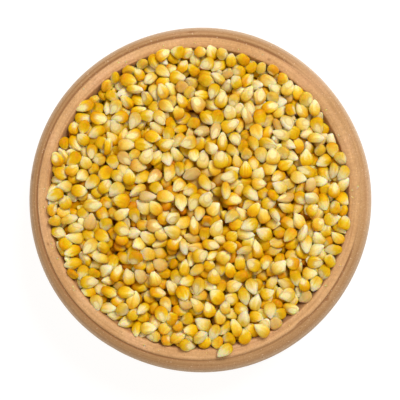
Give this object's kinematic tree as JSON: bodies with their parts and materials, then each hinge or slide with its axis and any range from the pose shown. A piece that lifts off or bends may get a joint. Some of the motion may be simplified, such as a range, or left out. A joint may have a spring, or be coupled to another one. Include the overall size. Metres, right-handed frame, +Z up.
{
  "type": "bowl of corn kernels",
  "caption": "Round unglazed terracotta bowl with a flat banded rim, heaped to a low dome with dry yellow popcorn kernels.",
  "frame": {"origin": "centre of the bowl's flat underside, on the surface it stands on", "axes": "+Z up along the bowl's axis, X and Y level; the bowl is turned, so X and Y are free"},
  "size_m": [0.172, 0.172, 0.0636],
  "materials": {
    "terracotta": "unglazed, matt, finely speckled, with turned lines",
    "corn": "dry kernels with a soft gloss, yellow to amber, paler at the tips"
  },
  "bodies": {
    "root": {"bowl": "terracotta", "kernel_heap": "corn", "kernel_01": "corn", "kernel_02": "corn", "kernel_03": "corn", "kernel_04": "corn", "kernel_05": "corn", "kernel_06": "corn", "kernel_07": "corn", "kernel_08": "corn", "kernel_09": "corn", "kernel_10": "corn", "kernel_11": "corn", "kernel_12": "corn", "kernel_13": "corn", "kernel_14": "corn", "kernel_15": "corn", "kernel_16": "corn", "kernel_17": "corn", "kernel_18": "corn", "kernel_19": "corn", "kernel_20": "corn", "kernel_21": "corn", "kernel_22": "corn", "kernel_23": "corn", "kernel_24": "corn", "kernel_25": "corn", "kernel_26": "corn", "kernel_27": "corn", "kernel_28": "corn", "kernel_29": "corn", "kernel_30": "corn", "kernel_31": "corn", "kernel_32": "corn", "kernel_33": "corn", "kernel_34": "corn", "kernel_35": "corn", "kernel_36": "corn", "kernel_37": "corn", "kernel_38": "corn", "kernel_39": "corn", "kernel_40": "corn", "kernel_41": "corn", "kernel_42": "corn", "kernel_43": "corn", "kernel_44": "corn", "kernel_45": "corn", "kernel_46": "corn", "kernel_47": "corn", "kernel_48": "corn", "kernel_49": "corn", "kernel_50": "corn", "kernel_51": "corn", "kernel_52": "corn", "kernel_53": "corn", "kernel_54": "corn", "kernel_55": "corn", "kernel_56": "corn", "kernel_57": "corn", "kernel_58": "corn"}
  },
  "joints": []
}
